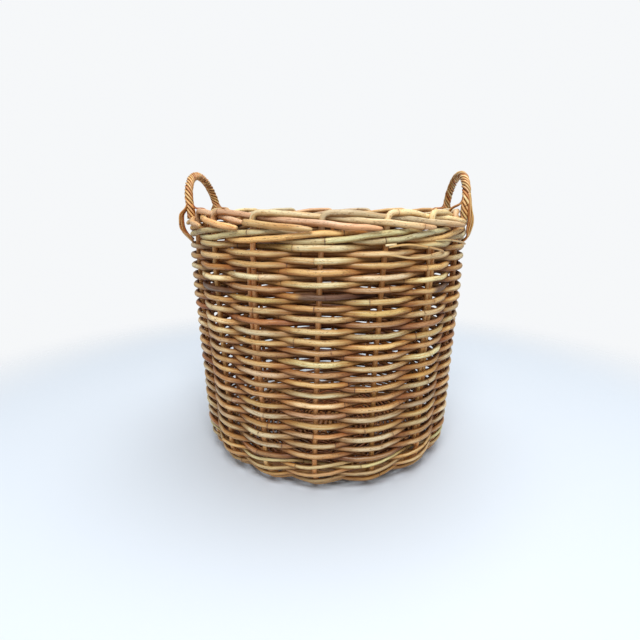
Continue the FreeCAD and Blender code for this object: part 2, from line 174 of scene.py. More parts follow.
def wall_radius(height):
    """The distance from the axis to the stakes' centre lines on the wall."""
    height = np.asarray(height, float)
    share = np.clip((height - BEND_TOP_HEIGHT) / (HUMP_HEIGHT - BEND_TOP_HEIGHT), 0, 1)
    straight = FOOT_RADIUS + (height - BASE_HEIGHT) * math.tan(LEAN)
    tuck = FOOT_TUCK * np.clip(1 - height / FOOT_TUCK_HEIGHT, 0, 1) ** 1.6
    return straight + BELLY * np.sin(math.pi * share**2.2) - tuck


# Lines

STRAIGHT = 0.005  # a turn under this, in radians, is left straight
RUN_SHARE = 0.46  # the most of a straight run that one of its two bends may take
STEP = 0.0045  # between the points of a stake's or a rod's line


def lengths_along(line):
    """The length of a line up to each of its points."""
    return np.concatenate([[0], np.cumsum(np.linalg.norm(np.diff(line, axis=0), axis=1))])


def unit(vectors):
    """Vectors made one long."""
    return vectors / np.linalg.norm(vectors, axis=1)[:, None]


def spline(points, step):
    """A smooth elastic line through the points: a natural cubic spline, sampled evenly."""
    points = np.asarray(points, float)
    knots = lengths_along(points)
    lengths = np.linalg.norm(np.diff(points, axis=0), axis=1)
    count = len(points)
    matrix = np.zeros((count, count))
    right = np.zeros((count, 3))
    matrix[0, 0] = matrix[-1, -1] = 1
    for k in range(1, count - 1):
        before, after = lengths[k - 1], lengths[k]
        matrix[k, k - 1 : k + 2] = before, 2 * (before + after), after
        right[k] = 6 * ((points[k + 1] - points[k]) / after - (points[k] - points[k - 1]) / before)
    curvature = np.linalg.solve(matrix, right)
    total = knots[-1]
    places = np.linspace(0, total, max(int(total / step), 2) + 1)
    k = np.clip(np.searchsorted(knots, places, "right") - 1, 0, count - 2)
    run = lengths[k][:, None]
    a = (knots[k + 1] - places)[:, None] / run
    b = 1 - a
    return (
        a * points[k]
        + b * points[k + 1]
        + ((a**3 - a) * curvature[k] + (b**3 - b) * curvature[k + 1]) * run**2 / 6
    )


def rounded(points, bends, step):
    """Straight runs between the points with an arc at each corner, sampled evenly."""
    points = [np.asarray(point, float) for point in points]
    line = [points[0]]

    def run_to(end):
        start = line[-1]
        count = max(int(np.linalg.norm(end - start) / step), 1)
        for part in range(1, count + 1):
            line.append(start + (end - start) * part / count)

    for index in range(1, len(points) - 1):
        here = points[index]
        back = points[index - 1] - here
        onward = points[index + 1] - here
        shorter = min(np.linalg.norm(back), np.linalg.norm(onward))
        back /= np.linalg.norm(back)
        onward /= np.linalg.norm(onward)
        turn = math.pi - math.acos(float(np.clip(back @ onward, -1, 1)))
        if turn < STRAIGHT:
            continue
        reach = min(bends[index - 1] * math.tan(turn / 2), RUN_SHARE * shorter)
        radius = reach / math.tan(turn / 2)
        inward = (back + onward) / np.linalg.norm(back + onward)
        centre = here + inward * radius / math.cos(turn / 2)
        enter = here + back * reach
        run_to(enter)
        across = (enter - centre) / radius
        along = -back
        count = max(int(turn * radius / step), 3)
        for part in range(1, count + 1):
            angle = turn * part / count
            line.append(centre + radius * (across * math.cos(angle) + along * math.sin(angle)))
    run_to(points[-1])
    return np.array(line)


STRAY_SHARES = (1.0, 0.55, 0.3)  # of the waves that bend a cane, from the longest to the shortest
NOISE_SHARES = (1.0, 0.6, 0.35)  # the same for the waves of slow_noise


def strayed(line, rng, amount, wavelength=0.09, fade=0.02):
    """The line with small slow bends added, none at its ends."""
    lengths = lengths_along(line)
    wave = np.zeros_like(line)
    for share in STRAY_SHARES:
        phase = rng.uniform(0, 2 * math.pi, 3)
        scale = rng.uniform(0.8, 1.2) * 2 * math.pi / (wavelength * share)
        wave += share * np.sin(lengths[:, None] * scale + phase)
    ease = np.clip(np.minimum(lengths, lengths[-1] - lengths) / fade, 0, 1)[:, None]
    return line + wave * amount * ease


def slow_noise(places, rng, wavelength):
    """A smooth random value from about -1 to 1 along the places."""
    value = np.zeros_like(places)
    for share in NOISE_SHARES:
        value += share * np.sin(
            places * 2 * math.pi / (wavelength * share) * rng.uniform(0.85, 1.15)
            + rng.uniform(0, 2 * math.pi)
        )
    return value / sum(NOISE_SHARES)


# Colours, as sRGB from 0 to 255

def linear(red, green, blue):
    """An sRGB colour as linear values."""
    found = []
    for value in (red, green, blue):
        share = value / 255
        found.append(share / 12.92 if share <= 0.04045 else ((share + 0.055) / 1.055) ** 2.4)
    return np.array(found)


STRAW = linear(222, 202, 152)
GOLD = linear(216, 174, 106)
TAN = linear(190, 150, 94)
GREY_TAN = linear(200, 178, 136)
RED_BROWN = linear(174, 120, 70)
PINK_TAN = linear(206, 166, 122)
PLUM = linear(76, 50, 44)
AMBER = linear(210, 142, 72)
BRIGHT_AMBER = linear(252, 180, 108)
PALE_GREEN = linear(208, 190, 134)
ROPE_GOLD = linear(238, 192, 124)
# The base's dark colour is painted shade, for the inside of the basket.
DARK_BASE = linear(112, 84, 56)


def mixed(first, second, share):
    """The first colours with a share of the second ones."""
    share = np.asarray(share, float)
    return first * (1 - share[..., None]) + second * share[..., None]


def pick(rng, palette):
    """One colour of a palette of (weight, colour), a little shaken."""
    weights = np.array([weight for weight, _ in palette], float)
    colours = [colour for _, colour in palette]
    first, second = rng.choice(len(colours), 2, p=weights / weights.sum())
    colour = mixed(colours[first], colours[second], rng.uniform(0, 0.5))
    return colour * (1 + rng.normal(0, 0.07)) * (1 + rng.normal(0, 0.02, 3))


# Canes

NODE_LENGTH = 0.0028  # how far a node's swelling reaches along the cane
NODE_RINGS = np.array([-0.005, -0.0022, -0.0004, 0.0004, 0.0022, 0.005])  # round each node
NODE_MARGIN = 0.008  # no node has rings of its own nearer to the cane's ends
LEAST_RING_GAP = 0.0003
END_BULGE = 0.12  # how far a cut end stands out, as a share of its radius


def cane_nodes(total, internode, rng):
    """The places of a cane's nodes, the last one past its end."""
    nodes = [rng.uniform(0.02, internode[1])]
    while nodes[-1] < total:
        nodes.append(nodes[-1] + rng.uniform(*internode))
    return np.array(nodes)


def ring_places(lengths, nodes):
    """The places along a cane where it gets a ring of points: more of them round its nodes."""
    total = lengths[-1]
    inside = nodes[(nodes > NODE_MARGIN) & (nodes < total - NODE_MARGIN)]
    extra = (inside[:, None] + NODE_RINGS).ravel()
    halves = (nodes[1:] + nodes[:-1]) / 2
    places = np.concatenate([lengths, extra, halves[(halves > 0) & (halves < total)]])
    places = np.unique(np.round(places[(places >= 0) & (places <= total)], 6))
    places = places[np.concatenate([[True], np.diff(places) > LEAST_RING_GAP])]
    places[-1] = total
    return places


def directions(line, reference):
    """A line's direction at each point and two directions square to it. The first of them lies
    near the reference, or without one it turns as little as it can."""
    tangent = unit(np.gradient(line, axis=0))
    if reference is not None:
        up = np.broadcast_to(np.asarray(reference, float), line.shape)
        normal = unit(up - (up * tangent).sum(1)[:, None] * tangent)
        return tangent, normal, np.cross(tangent, normal)
    normal = np.zeros_like(line)
    guess = np.array([0.0, 0.0, 1.0])
    if abs(tangent[0] @ guess) > 0.9:
        guess = np.array([line[0][0], line[0][1], 0.0]) + 1e-6
    current = guess - (guess @ tangent[0]) * tangent[0]
    for index in range(len(line)):
        current = current - (current @ tangent[index]) * tangent[index]
        current = current / math.sqrt(current @ current)
        normal[index] = current
    return tangent, normal, np.cross(tangent, normal)


def cane_colours(line, places, segment, rng, palette, tone_shift, node_change, stain):
    """The colour of each ring of a cane, which changes a little at every node."""
    count = segment.max() + 1
    colour = pick(rng, palette)
    shifts = 1 + rng.normal(0, tone_shift, (count, 1)) + rng.normal(0, tone_shift / 4, (count, 3))
    body = colour[None, :] * shifts[segment]
    if node_change:
        other = pick(rng, palette)
        share = (rng.uniform(0, 1, count) < node_change)[segment] * 0.7
        body = mixed(body, np.broadcast_to(other, body.shape), share)
    body = body * (1 + 0.06 * slow_noise(places, rng, 0.2))[:, None]
    if stain is not None:
        body = stain(line, body)
    return np.clip(body, 0.004, 0.95)


def add_object(name, data):
    """A new object in the scene."""
    made = bpy.data.objects.new(name, data)
    bpy.context.scene.collection.objects.link(made)
    return made


class Piece:
    """A mesh in the making: canes are added to it one by one."""

    def __init__(self):
        self.vertices, self.faces, self.count = [], [], 0
        self.colour, self.grain, self.knot, self.cut, self.shade = [], [], [], [], []

    def cane(
        self, line, diameter, rng, palette, sides=12, taper=0.0, uneven=0.03, internode=(0.16, 0.34),
        swelling=0.05, stain=None, shade=None, reference=None, tone_shift=0.09, tip=0.0, swell=None,
        node_change=0.0,
    ):
        """A cane along a line: round, a little uneven, with nodes, and cut square at its ends."""
        lengths = lengths_along(line)
        total = lengths[-1]
        nodes = cane_nodes(total, internode, rng)
        places = ring_places(lengths, nodes)
        line = np.stack([np.interp(places, lengths, line[:, k]) for k in range(3)], -1)

        distance = np.min(np.abs(places[:, None] - nodes[None, :]), axis=1)
        segment = np.searchsorted(nodes, places)
        radius = 0.5 * diameter * (1 + taper * (0.5 - places / total))
        radius = radius * (1 + uneven * slow_noise(places, rng, 0.12))
        radius = radius * (1 + swelling * np.exp(-((distance / NODE_LENGTH) ** 2)))
        if swell is not None:
            radius = radius * swell(line)
        if tip:
            radius = radius * (0.5 + 0.5 * np.sqrt(np.clip((total - places) / tip, 0, 1)))

        tangent, normal, side = directions(line, reference)
        angle = np.arange(sides) * 2 * math.pi / sides
        cosine, sine = np.cos(angle)[:, None], np.sin(angle)[:, None]
        facing = cosine * normal[:, None, :] + sine * side[:, None, :]
        shell = line[:, None, :] + facing * radius[:, None, None]
        bulge = tangent * radius[:, None] * END_BULGE
        ends = np.stack([line[0] - bulge[0], line[-1] + bulge[-1]])
        self.vertices += [shell.reshape(-1, 3), ends]
        self.add_faces(len(line), sides)

        body = cane_colours(line, places, segment, rng, palette, tone_shift, node_change, stain)
        self.colour += [np.repeat(body, sides, 0), body[[0, -1]]]
        offset = rng.uniform(0, 40)
        grain = np.stack(np.broadcast_arrays(places[:, None] + offset, cosine.T, sine.T), -1)
        self.grain += [grain.reshape(-1, 3), np.array([[offset, 0, 0], [offset + total, 0, 0]])]
        self.knot += [np.repeat(distance, sides), np.array([0.05, 0.05])]
        self.cut += [np.zeros(len(line) * sides), np.ones(2)]
        shades = np.zeros((len(line), sides)) if shade is None else shade(line, facing)
        self.shade += [shades.reshape(-1), np.zeros(2)]
        self.count += len(line) * sides + 2

    def add_faces(self, rows, sides):
        """The faces of a tube whose points come next: its skin, then the fans over its ends."""
        first = self.count
        row = np.arange(rows - 1)[:, None] * sides + first
        near = np.arange(sides)[None, :]
        far = (near + 1) % sides
        skin = np.stack([row + near, row + far, row + sides + far, row + sides + near], -1)
        start_middle = first + rows * sides
        last = first + (rows - 1) * sides
        caps = []
        for k in range(sides):
            after = (k + 1) % sides
            caps.append((start_middle, first + after, first + k, first + k))
        for k in range(sides):
            after = (k + 1) % sides
            caps.append((start_middle + 1, last + k, last + after, last + after))
        self.faces += [skin.reshape(-1, 4), np.array(caps)]

    def build(self, prefix, node, material, slot):
        """Make the object, which rides with the frame and stands for its CAD node."""
        name = f"{prefix}_{node}"
        vertices = np.concatenate(self.vertices)
        faces = np.concatenate(self.faces)
        triangles = faces[:, 2] == faces[:, 3]
        mesh = bpy.data.meshes.new(name)
        mask = np.ones_like(faces, bool)
        mask[triangles, 3] = False
        loops = faces[mask]
        mesh.vertices.add(len(vertices))
        mesh.vertices.foreach_set("co", vertices.astype(np.float32).ravel())
        mesh.loops.add(len(loops))
        mesh.loops.foreach_set("vertex_index", loops.astype(np.int32))
        mesh.polygons.add(len(faces))
        starts = np.concatenate([[0], np.cumsum(mask.sum(1))[:-1]])
        mesh.polygons.foreach_set("loop_start", starts.astype(np.int32))
        mesh.update(calc_edges=True)
        mesh.validate()
        mesh.polygons.foreach_set("use_smooth", np.ones(len(mesh.polygons), bool))
        colour = np.concatenate(self.colour)
        values = (
            ("cane_colour", "FLOAT_COLOR", "color", np.concatenate([colour, np.ones((len(colour), 1))], 1)),
            ("grain", "FLOAT_VECTOR", "vector", np.concatenate(self.grain)),
            ("knot", "FLOAT", "value", np.concatenate(self.knot)),
            ("cut", "FLOAT", "value", np.concatenate(self.cut)),
            ("shade", "FLOAT", "value", np.concatenate(self.shade)),
        )
        for key, kind, field, data in values:
            attribute = mesh.attributes.new(key, kind, "POINT")
            attribute.data.foreach_set(field, data.astype(np.float32).ravel())
        mesh.update()
        mesh.materials.append(material)
        piece = add_object(name, mesh)
        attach(piece, "root")
        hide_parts(node)


# Materials

class Nodes:
    """A short way to write a material's nodes."""

    def __init__(self, tree):
        self.tree = tree

    def add(self, kind, inputs=(), **settings):
        node = self.tree.nodes.new(kind)
        for key, value in settings.items():
            setattr(node, key, value)
        for key, value in dict(inputs).items():
            self.put(node.inputs[key], value)
        return node

    def put(self, socket, value):
        if isinstance(value, bpy.types.NodeSocket):
            self.tree.links.new(value, socket)
        else:
            socket.default_value = value

    def attribute(self, name, output):
        return self.add("ShaderNodeAttribute", attribute_name=name).outputs[output]

    def math(self, operation, *values):
        node = self.add("ShaderNodeMath", operation=operation)
        for index, value in enumerate(values):
            self.put(node.inputs[index], value)
        return node.outputs[0]

    def times(self, first, second):
        return self.math("MULTIPLY", first, second)

    def tinted(self, colour, tint):
        return self.mix(1.0, colour, tint, "MULTIPLY")

    def ramp(self, value, low, high, from_value=0.0, to_value=1.0):
        node = self.add("ShaderNodeMapRange", interpolation_type="SMOOTHSTEP")
        self.put(node.inputs[0], value)
        for index, number in enumerate((low, high, from_value, to_value)):
            node.inputs[index + 1].default_value = number
        return node.outputs[0]

    def noise(self, vector, scale, detail=2.0, roughness=0.55):
        placed = self.add("ShaderNodeMapping", {"Vector": vector, "Scale": scale}).outputs[0]
        settings = {"Vector": placed, "Scale": 1.0, "Detail": detail, "Roughness": roughness}
        return self.add("ShaderNodeTexNoise", settings).outputs["Fac"]

    def mix(self, factor, first, second, blend="MIX"):
        node = self.add("ShaderNodeMix", data_type="RGBA", blend_type=blend)
        for index, value in ((0, factor), (6, first), (7, second)):
            self.put(node.inputs[index], value)
        return node.outputs[2]


def rgba(colour):
    """A colour as a socket takes it."""
    return (*[float(value) for value in colour], 1.0)


def new_material(name):
    """A material with an empty node tree, and the short way to fill it."""
    material = bpy.data.materials.new(name)
    material.use_nodes = True
    material.node_tree.nodes.clear()
    return material, Nodes(material.node_tree)


# What a cane's own colour is multiplied by
DARK_FIBRE = (0.50, 0.33, 0.19, 1)
WARM_STREAK = (0.80, 0.58, 0.38, 1)
IN_THE_LIGHT = (1.28, 1.38, 1.62, 1)
IN_THE_SHADE = (0.60, 0.36, 0.175, 1)
IN_A_CREVICE = (0.22, 0.115, 0.055, 1)

# The colours of marks on a cane
SCUFF = rgba(linear(240, 228, 196))
SPECK = rgba(linear(66, 38, 24))
NODE_RING = rgba(linear(74, 42, 26))
CUT_END = rgba(linear(206, 176, 122))


def cane_material(name, roughness=0.42, streaks=0.7, specks=0.8, scuffs=0.5, painted_shade=0.9, coat=0.12):
    """Rattan cane: skin with lengthwise streaks, dark rings at its nodes, specks and scuffs, with painted
    highlight and painted shade from the shade attribute.
    """
    material, n = new_material(name)
    grain = n.attribute("grain", "Vector")
    colour = n.attribute("cane_colour", "Color")
    knot = n.attribute("knot", "Fac")
    shade = n.attribute("shade", "Fac")

    fibre = n.noise(grain, (34.0, 7.5, 7.5), 3.0, 0.6)
    streak = n.noise(grain, (9.0, 2.6, 2.6), 3.0, 0.6)
    patch = n.noise(grain, (16.0, 0.9, 0.9), 3.0, 0.6)
    fleck = n.noise(grain, (300.0, 7.0, 7.0), 1.0, 0.5)
    dirt = n.noise(grain, (70.0, 1.6, 1.6), 4.0, 0.65)

    dark = n.tinted(colour, DARK_FIBRE)
    warm = n.tinted(colour, WARM_STREAK)
    pale = n.mix(0.4, colour, SCUFF)
    body = n.mix(n.times(n.ramp(streak, 0.50, 0.68), streaks), colour, warm)
    body = n.mix(n.times(n.ramp(streak, 0.48, 0.32), scuffs), body, pale)
    body = n.mix(n.times(n.ramp(fibre, 0.52, 0.70), 0.8 * streaks), body, dark)
    body = n.mix(n.times(n.ramp(patch, 0.52, 0.66), 0.75), body, warm)
    body = n.mix(n.times(n.ramp(dirt, 0.55, 0.70), 0.9 * specks), body, dark)
    spot = n.times(n.ramp(fleck, 0.60, 0.67), n.ramp(dirt, 0.42, 0.56))
    body = n.mix(n.times(spot, specks), body, SPECK)

    ragged = n.math("MULTIPLY_ADD", fibre, 0.0016, n.math("SUBTRACT", knot, 0.0008))
    ring = n.ramp(ragged, 0.0004, 0.0014, 1.0, 0.0)
    collar = n.times(n.ramp(knot, 0.0012, 0.0065, 1.0, 0.0), 0.35)
    body = n.mix(collar, body, warm)
    faint = n.times(ring, n.ramp(patch, 0.35, 0.6, 0.25, 0.85))
    body = n.mix(faint, body, NODE_RING)

    # Painted highlight and painted shade: the skin is paled where the shade attribute is low and darkened
    # where it is high, down to the colour of a shaded crevice.
    uneven = n.times(shade, n.ramp(streak, 0.3, 0.7, 0.8, 1.1))
    lit = n.tinted(body, IN_THE_LIGHT)
    body = n.mix(n.ramp(uneven, 0.0, 0.25, 0.8, 0.0), body, lit)
    tint = n.tinted(body, IN_THE_SHADE)
    deep = n.tinted(body, IN_A_CREVICE)
    body = n.mix(n.times(n.ramp(uneven, 0.0, 0.55), painted_shade), body, tint)
    body = n.mix(n.times(n.ramp(uneven, 0.45, 1.0), painted_shade), body, deep)

    cut = n.attribute("cut", "Fac")
    body = n.mix(n.ramp(cut, 0.12, 0.3), body, CUT_END)

    rough = n.ramp(streak, 0.3, 0.7, roughness - 0.06, roughness + 0.16)
    height = n.math("MULTIPLY_ADD", fibre, 0.6, n.times(streak, 0.5))
    height = n.math("SUBTRACT", height, n.times(ring, 0.8))
    bump = n.add("ShaderNodeBump", {"Height": height, "Strength": 0.5, "Distance": 0.0005}).outputs[0]
    shader = n.add(
        "ShaderNodeBsdfPrincipled",
        {
            "Base Color": body,
            "Roughness": rough,
            "Normal": bump,
            "Coat Weight": coat,
            "Coat Roughness": 0.35,
            "Specular IOR Level": 0.42,
        },
    )
    n.add("ShaderNodeOutputMaterial", {"Surface": shader.outputs[0]})
    return material


WEAVER_MATERIAL = cane_material("weaver_cane")
# The stakes get less painted shade than the weavers.
STAKE_MATERIAL = cane_material("stake_cane", roughness=0.4, streaks=0.45, scuffs=0.35, painted_shade=0.75)
WALE_MATERIAL = cane_material("wale_cane", streaks=0.6)
FOOT_MATERIAL = cane_material("foot_cane", specks=0.6)
BASE_MATERIAL = cane_material("base_cane", roughness=0.5)
HANDLE_MATERIAL = cane_material("handle_cane", roughness=0.38, streaks=0.5, specks=0.25, coat=0.2)


# A shade takes a cane's line and where each point of its skin faces

def outward_parts(line, facing):
    """How far each point of a tube's skin faces away from the axis, and how far it faces up."""
    out = line.copy()
    out[:, 2] = 0
    out /= np.linalg.norm(out, axis=1)[:, None] + 1e-9
    return (facing * out[:, None, :]).sum(-1), facing[..., 2]


def crevice_shade(amount=1.0):
    """Darkening of a woven cane: where it goes in behind its neighbours, on the sides that face
    them, underneath, and on the inside of the wall."""

    def shade(line, facing):
        outward, upward = outward_parts(line, facing)
        level = (np.linalg.norm(line[:, :2], axis=1) - wall_radius(line[:, 2])) / STAKE_DIAMETER
        hidden = np.clip((0.75 - level) / 1.1, 0, 1)[:, None]
        edge = np.clip((0.62 - outward) / 0.62, 0, 1)
        under = np.clip(-upward, 0, 1)
        inside = np.clip(-outward, 0, 1)
        total = 0.5 * hidden + 0.5 * edge + 0.5 * under * np.clip(outward + 0.4, 0, 1) + 0.6 * inside
        return np.clip(total * amount, 0, 1)

    return shade


# The side weave

UP = (0.0, 0.0, 1.0)
WEAVE_ROWS = 2 * WEAVE_BANDS
BUTT_GAP = 0.012  # in stakes, from a stake's middle to the end of a cane that stops behind it
WEAVER_FULLNESS = (1.10, 1.26)  # how much thicker the canes look than in the frame
LOW_THINNESS = 0.09  # how much thinner they are at the very bottom
BACK_FULLNESS = 0.12
ROW_SAMPLES = 21  # points of a row's line from one stake to the next
HALF_PLACES = 2 * STAKE_COUNT
ROW_PALETTES = {
    "bottom": [(4, GREY_TAN), (4, TAN), (1, GOLD), (1, RED_BROWN)],
    "lower": [(4, GREY_TAN), (4, TAN), (2, GOLD), (1.5, RED_BROWN)],
    "middle": [(4, GOLD), (3, STRAW), (3, TAN), (1.5, RED_BROWN), (1.5, PALE_GREEN)],
    "upper": [(4, GOLD), (3, TAN), (2, STRAW), (1, PALE_GREEN), (1.5, AMBER)],
    "top": [(3, PALE_GREEN), (3, GOLD), (2, STRAW), (1.5, TAN)],
}
PALETTE_TOPS = (("bottom", 0.125), ("lower", 0.225), ("middle", 0.315), ("upper", 0.395))
PLUM_ROW = 31  # the row whose canes are dark along part of their length
PLUM_PLACES = ((-2.6, -1.3), (-0.35, 1.25), (1.9, 3.0))
OPEN_SIDE = 35  # the azimuth where the low rows lie furthest apart


def row_heights():
    """The height of every row at each stake and half-way between, from the rows' thickness."""
    rng = seeded(2)
    places = np.arange(HALF_PLACES)
    thickness = np.zeros((WEAVE_ROWS, HALF_PLACES))
    angle = places / HALF_PLACES * 2 * math.pi
    open_side = 0.5 + 0.5 * np.cos(angle - math.radians(OPEN_SIDE))
    for row in range(WEAVE_ROWS):
        wave = np.zeros(HALF_PLACES)
        for order in (1, 2, 3, 5, 8):
            wave += rng.normal(0, 1) / order * np.sin(order * angle + rng.uniform(0, 6.3))
        low = 1 - row / WEAVE_ROWS
        gap = 0.0007 + 0.0007 * wave + 0.0005 * low * open_side
        thickness[row] = WEAVER_DIAMETER + np.clip(gap, -0.0004, 0.0030) + rng.normal(0, 0.0005)
    edges = np.concatenate([np.zeros((1, HALF_PLACES)), np.cumsum(thickness, axis=0)])
    edges *= (WEAVE_TOP - WEAVE_BOTTOM) / edges[-1]
    return WEAVE_BOTTOM + (edges[1:] + edges[:-1]) / 2


ROW_HEIGHTS = row_heights()


def row_height(row, place):
    """The height of a row at places given in stakes."""
    half = np.asarray(place, float) * 2
    below = np.floor(half).astype(int)
    share = half - below
    ring = ROW_HEIGHTS[row]
    p0, p1, p2, p3 = (ring[(below + k) % HALF_PLACES] for k in (-1, 0, 1, 2))
    return p1 + 0.5 * share * (
        p2 - p0 + share * (2 * p0 - 5 * p1 + 4 * p2 - p3 + share * (3 * (p1 - p2) + p3 - p0))
    )


def row_palette(height):
    """The colours of the rows at a height."""
    for name, top in PALETTE_TOPS:
        if height < top:
            return ROW_PALETTES[name]
    return ROW_PALETTES["top"]


def fuller_at_back(line):
    """The weavers are a little thicker on the far side of the basket."""
    return 1 + BACK_FULLNESS * np.clip(line[:, 1] / RIM_RADIUS, 0, 1)


def weave_row(piece, row):
    """One row of the side weave, made of canes that follow each other round the wall."""
    outward_at_even = (WEAVE_ROWS - 1 - row) % 2 == 0
    rng = seeded(3, row)
    start = 2 * int(rng.integers(0, STAKE_COUNT // 2)) + (1 if outward_at_even else 0)
    lengths = [int(rng.choice([6, 8, 10]))]
    lengths.append(STAKE_COUNT - lengths[0])
    low = 1 - row / WEAVE_ROWS
    place = start
    for count in lengths:
        diameter = WEAVER_DIAMETER * rng.uniform(*WEAVER_FULLNESS) * (1 - LOW_THINNESS * low)
        places = np.linspace(place + BUTT_GAP, place + count - BUTT_GAP, count * ROW_SAMPLES + 1)
        whole = np.floor(places)
        share = places - whole
        sign = np.where((whole.astype(int) % 2 == 0) == outward_at_even, 1.0, -1.0)
        swing = sign * (1 - 6 * share**2 + 4 * share**3)
        reach = (STAKE_DIAMETER + diameter) / 2
        height = row_height(row, places)
        radius = wall_radius(height) + reach * swing
        line = at(azimuth_at(places, height), radius, height)
        line = strayed(line, rng, amount=0.0003, wavelength=0.07)
        # Lower rows get more painted shade, so the weave is darker towards the bottom.
        piece.cane(
            line, diameter, rng, row_palette(float(height.mean())), taper=rng.uniform(-0.14, 0.14),
            node_change=0.35, swell=fuller_at_back, reference=UP,
            stain=plum_stain if row == PLUM_ROW else None, shade=crevice_shade(amount=1.0 + 0.4 * low),
        )
        place += count


def plum_stain(line, body):
    """Dark stretches of one row at the front."""
    stakes = np.degrees(np.arctan2(line[:, 0], -line[:, 1])) / STAKE_STEP
    dark = np.zeros(len(line))
    for low, high in PLUM_PLACES:
        begun = np.clip((stakes - low) / 0.12, 0, 1)
        left = np.clip((high - stakes) / 0.3, 0, 1)
        dark = np.maximum(dark, begun * left)
    return mixed(body, np.broadcast_to(PLUM, body.shape), dark * 0.85)


def build_weave():
    for band in range(WEAVE_BANDS):
        piece = Piece()
        for row in (2 * band, 2 * band + 1):
            weave_row(piece, row)
        piece.build("side", f"weave_band_{band + 1:02d}", WEAVER_MATERIAL, "weaver_cane")


# Stakes and border

STAKE_PALETTE = [(5, BRIGHT_AMBER), (1, AMBER)]
BORDER_PALETTE = [(3, PINK_TAN), (2.5, STRAW), (2, GREY_TAN), (2, GOLD), (1, TAN)]
ROD_PALETTE = [(1, STRAW), (1, GOLD)]
BORDER_SWELL = 0.10  # how much thicker a stake looks in the border than in the wall


def border_point(index, steps, rng):
    """A point on a stake's border run, some stakes to the right of its hump."""
    run = ((0.0, 0.0, 0.0), *BORDER_RUN)
    after = next(k for k in range(1, len(run)) if steps <= run[k][0])
    start, end = run[after - 1], run[after]
    share = (steps - start[0]) / (end[0] - start[0])
    layers, drop = (a + (b - a) * share for a, b in zip(start[1:], end[1:]))
    radius = HUMP_RING + layers * BORDER_LAYER
    height = HUMP_HEIGHT - drop + (rng.uniform(-0.0007, 0.0007) if steps else 0.0)
    return at(azimuth_at(index + steps, HUMP_HEIGHT), radius, height)


def border_points(index, first, last, rng):
    """The points of a stake's border run from one count of stakes to another."""
    between = [steps for steps, _, _ in BORDER_RUN if first < steps < last]
    return [border_point(index, steps, rng) for steps in (first, *between, last)]


def stake_line(index, last):
    """The centre line of one stake, from its tail in the base to its cut end in the border."""
    rng = seeded(4, index)
    foot = at(stake_angle(index, 0), FOOT_RADIUS, BASE_HEIGHT)
    tail = at(stake_angle(index, 0), TAIL_START, BASE_HEIGHT)
    points, bends = [tail, foot], [STAKE_BEND_RADIUS]
    for share in (0.25, 0.45, 0.65, 0.85):
        height = BASE_HEIGHT + (HUMP_HEIGHT - BASE_HEIGHT) * share
        points.append(at(stake_angle(index, height), wall_radius(height), height))
        bends.append(0.6)
    points += border_points(index, 0.0, last, rng)
    bends.append(HUMP_BEND_RADIUS * rng.uniform(0.85, 1.15))
    bends += [BORDER_BEND_RADIUS] * (len(points) - 2 - len(bends))
    return rounded(points, bends, STEP)


def border_stain(line, body):
    """A stake is amber in the wall and paler in the border."""
    share = np.clip((line[:, 2] - (BORDER_TOP - 0.045)) / 0.03, 0, 1)
    colour = pick(seeded(5, int(abs(line[0, 0]) * 1e4), int(abs(line[0, 1]) * 1e4)), BORDER_PALETTE)
    level = body / (body.mean(0) + 1e-6)
    return mixed(body, colour[None, :] * level, share)


def stake_shade(line, facing):
    """Stakes are darker at their sides and between the rows, and under each border run."""
    outward, upward = outward_parts(line, facing)
    in_wall = np.clip((WEAVE_TOP - line[:, 2]) / 0.02, 0, 1)[:, None]
    wall = 0.5 * np.clip(0.7 - outward, 0, 1)
    border = 0.55 * np.clip(0.25 - 0.75 * upward - 0.3 * outward, 0, 1)
    return np.clip(in_wall * wall + (1 - in_wall) * border, 0, 1)


def thick_in_border(line):
    """How much thicker a stake is along its line."""
    in_border = np.clip((line[:, 2] - (HUMP_HEIGHT - 0.03)) / 0.02, 0, 1)
    return 1 + BORDER_SWELL * in_border


def build_stakes():
    last = BORDER_RUN[-1][0]
    for index in range(STAKE_COUNT):
        rng = seeded(6, index)
        piece = Piece()
        short = index + 1 == SHORT_STAKE
        end = SHORT_RUN if short else last - rng.uniform(0, 0.06)
        line = strayed(stake_line(index, end), rng, amount=0.00035, wavelength=0.1)
        piece.cane(
            line, STAKE_DIAMETER, rng, STAKE_PALETTE, sides=14, uneven=0.02, stain=border_stain,
            shade=stake_shade, internode=(0.20, 0.38), swell=thick_in_border, tip=0.03,
        )
        piece.build("wall", f"stake_{index + 1:02d}", STAKE_MATERIAL, "stake_cane")

    rng = seeded(16)
    points = border_points(SHORT_STAKE - 1, ROD_START, last, rng)
    line = rounded(points, [BORDER_BEND_RADIUS] * 2, STEP)
    line = strayed(line, rng, amount=0.0003, wavelength=0.1)
    piece = Piece()
    piece.cane(
        line, STAKE_DIAMETER * (1 + BORDER_SWELL), rng, ROD_PALETTE, sides=14, taper=0.3,
        shade=stake_shade, tip=0.02,
    )
    piece.build("top", "border_rod", STAKE_MATERIAL, "stake_cane")


def build_bye_stakes():
    for number in (1, 2):
        name = f"bye_stake_{number}"
        low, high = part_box(name)
        middle = (low + high) / 2
        azimuth = math.degrees(math.atan2(middle.x, -middle.y))
        stake = round(azimuth / STAKE_STEP)
        apart = (STAKE_DIAMETER + BYE_STAKE_DIAMETER) / 2 + CONTACT
        apart = math.copysign(apart, azimuth - stake * STAKE_STEP)
        heights = np.linspace(low.z + 0.001, high.z - 0.001, 80)
        angles = np.array([stake_angle(stake, height) for height in heights])
        line = at(angles, wall_radius(heights), heights)
        direction = np.stack([np.cos(np.radians(angles)), np.sin(np.radians(angles)), 0 * angles], -1)
        line = line + direction * apart
        piece = Piece()
        rng = seeded(7, number)
        piece.cane(line, BYE_STAKE_DIAMETER, rng, STAKE_PALETTE, shade=stake_shade, taper=0.08)
        piece.build("wall", name, STAKE_MATERIAL, "stake_cane")


# The top wale

